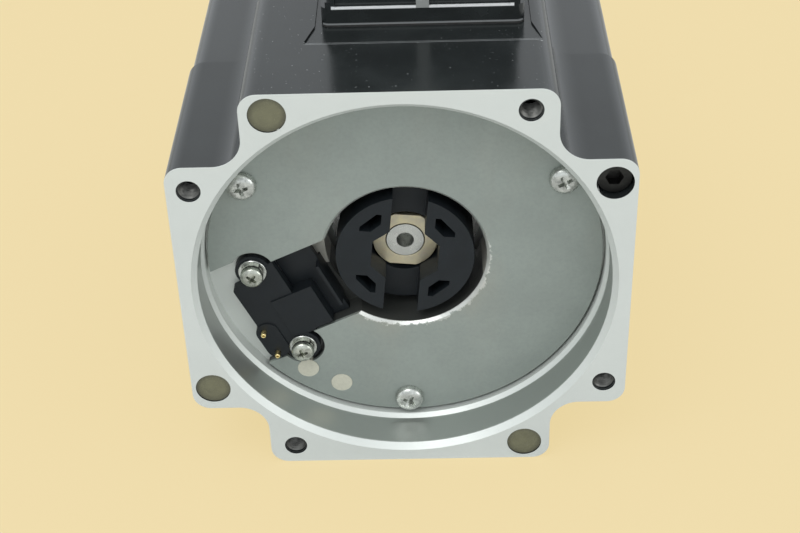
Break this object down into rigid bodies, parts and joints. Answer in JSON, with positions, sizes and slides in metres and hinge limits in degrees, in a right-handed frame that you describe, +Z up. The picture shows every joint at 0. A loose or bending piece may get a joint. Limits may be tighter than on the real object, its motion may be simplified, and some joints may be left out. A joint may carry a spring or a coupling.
{
  "type": "servo motor",
  "caption": "Flange-mounted servo motor with holding brake; open rear recess shows the coupling for a feedback unit, which is removed.",
  "frame": {"origin": "centre of the drive-end mounting face, on the shaft axis", "axes": "+Y along the shaft out of the drive end, +Z up towards the power connector"},
  "size_m": [0.174, 0.329, 0.247],
  "materials": {
    "casting_paint": "semi-gloss black paint on an aluminium casting",
    "housing_paint": "semi-gloss black paint on an aluminium housing",
    "flange_paint": "semi-gloss black paint, machined mounting face",
    "screw_steel": "zinc-plated steel",
    "bolt_steel": "black-oxide steel",
    "sealant": "glossy olive sealing compound",
    "plug": "cream potting",
    "brake_steel": "matt grey steel",
    "connector_plastic": "black moulded plastic",
    "gold": "gold-plated contact",
    "coil": "varnished copper winding",
    "magnet": "sintered magnet",
    "steel": "ground steel",
    "hub_zinc": "yellow-passivated steel",
    "slider_plastic": "black plastic",
    "laminations": "stacked sheet steel",
    "sleeve": "glass-fibre band",
    "balance": "brass",
    "bearing_steel": "polished bearing steel",
    "cage": "brass cage",
    "seal_rubber": "rubber lip seal",
    "gasket_rubber": "flat rubber gasket",
    "shell_nickel": "nickel-plated brass"
  },
  "bodies": {
    "stator": {"rear_casting": "casting_paint", "stator_housing": "housing_paint", "front_flange": "flange_paint", "tie_bolts": "bolt_steel", "sealant_plugs": "sealant", "plate_screws": "screw_steel", "plate_plugs": "plug", "brake_magnet_body": "brake_steel", "brake_coil": "coil", "brake_ring_magnet": "magnet", "connector_housing": "connector_plastic", "connector_pins": "gold", "ear_flat_washers": "screw_steel", "ear_spring_washers": "screw_steel", "ear_screws": "screw_steel", "stator_core": "laminations", "stator_coils": "coil", "rear_outer_race": "bearing_steel", "front_outer_race": "bearing_steel", "wave_spring": "steel", "bearing_circlip": "steel", "oil_seal": "seal_rubber", "connector_gasket": "gasket_rubber", "connector_box": "casting_paint", "power_receptacle": "shell_nickel", "receptacle_insert": "connector_plastic", "receptacle_contacts": "gold", "receptacle_screws": "screw_steel"},
    "rotor": {"shaft": "steel", "rotor_core": "laminations", "rotor_magnets": "magnet", "magnet_sleeve": "sleeve", "rear_balance_ring": "balance", "front_balance_ring": "balance", "rear_inner_race": "bearing_steel", "front_inner_race": "bearing_steel", "brake_hub": "steel", "brake_leaf_springs": "steel", "brake_rivets": "steel", "coupling_hub": "hub_zinc"},
    "brake_armature": {"brake_armature": "brake_steel"},
    "rear_ball_set": {"rear_balls": "bearing_steel", "rear_cage": "cage"},
    "front_ball_set": {"front_balls": "bearing_steel", "front_cage": "cage"},
    "coupling_slider": {"coupling_slider": "slider_plastic"}
  },
  "joints": [
    {"name": "rotor_spin", "type": "hinge", "parent": "stator", "child": "rotor", "pos_m": [0, 0, 0], "axis": [0, 1, 0], "continuous": true},
    {"name": "rear_balls_spin", "type": "hinge", "parent": "stator", "child": "rear_ball_set", "pos_m": [0, 0, 0], "axis": [0, 1, 0], "continuous": true},
    {"name": "front_balls_spin", "type": "hinge", "parent": "stator", "child": "front_ball_set", "pos_m": [0, 0, 0], "axis": [0, 1, 0], "continuous": true},
    {"name": "brake_engage", "type": "slide", "parent": "rotor", "child": "brake_armature", "axis": [0, 1, 0], "range_m": [-0.00025, 0], "stiffness_N_per_m": 20000},
    {"name": "slider_shift", "type": "slide", "parent": "rotor", "child": "coupling_slider", "axis": [0.9945, 0, -0.1045], "range_m": [-0.0005, 0.0005]}
  ],
  "couplings": [
    {"joint": "rear_balls_spin", "follows": "rotor_spin", "ratio": 0.3965},
    {"joint": "front_balls_spin", "follows": "rotor_spin", "ratio": 0.387}
  ]
}
